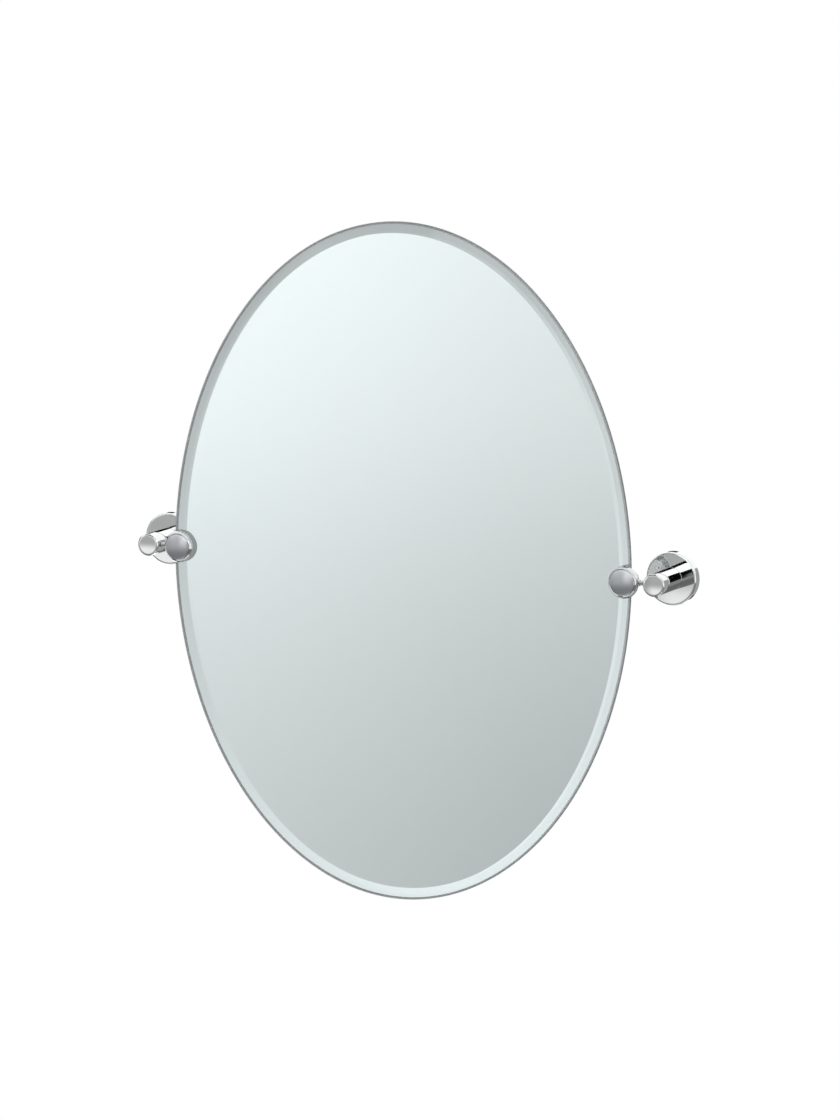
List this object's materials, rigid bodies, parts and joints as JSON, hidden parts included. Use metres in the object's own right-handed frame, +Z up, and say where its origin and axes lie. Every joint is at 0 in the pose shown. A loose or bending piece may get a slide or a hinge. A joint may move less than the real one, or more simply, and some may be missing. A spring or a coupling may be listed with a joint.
{
  "type": "pivot wall mirror",
  "caption": "Frameless oval bevelled mirror clipped at mid height between two round chromed wall posts, tilting on a pair of pivot pins.",
  "frame": {"origin": "on the wall plane, midway between the two posts, at the height of the pivot axis: the centre of the four wall screw holes", "axes": "+X to the right of a person facing the mirror, +Y into the wall, +Z up"},
  "size_m": [0.6014, 0.0553, 0.673],
  "materials": {
    "mirror_glass": "polished silvered glass with a faint green tint",
    "backing_paint": "matt grey mirror backing paint",
    "chrome": "polished chrome plate",
    "bright_steel": "turned bright steel",
    "zinc_plate": "zinc plated steel",
    "clear_vinyl": "translucent vinyl",
    "white_nylon": "natural nylon"
  },
  "bodies": {
    "wall_mount": {"flange_left": "chrome", "flange_right": "chrome", "wall_bracket_left": "zinc_plate", "wall_bracket_right": "zinc_plate", "flange_set_screws": "bright_steel", "post_left": "chrome", "post_right": "chrome", "post_screws": "bright_steel", "pivot_bush_left": "white_nylon", "pivot_bush_right": "white_nylon", "tension_screws": "bright_steel"},
    "mirror": {"mirror_glass": "mirror_glass", "silver_backing": "backing_paint", "clip_cap_left": "chrome", "clip_cap_right": "chrome", "clip_back_left": "chrome", "clip_back_right": "chrome", "front_pad_left": "clear_vinyl", "front_pad_right": "clear_vinyl", "rear_pad_left": "clear_vinyl", "rear_pad_right": "clear_vinyl", "clip_screws": "bright_steel", "pivot_pin_left": "bright_steel", "pivot_pin_right": "bright_steel", "pin_lock_nuts": "chrome"}
  },
  "joints": [
    {"name": "mirror_tilt", "type": "hinge", "parent": "wall_mount", "child": "mirror", "pos_m": [0, -0.045, 0], "axis": [1, 0, 0], "range_deg": [-7, 7]}
  ]
}
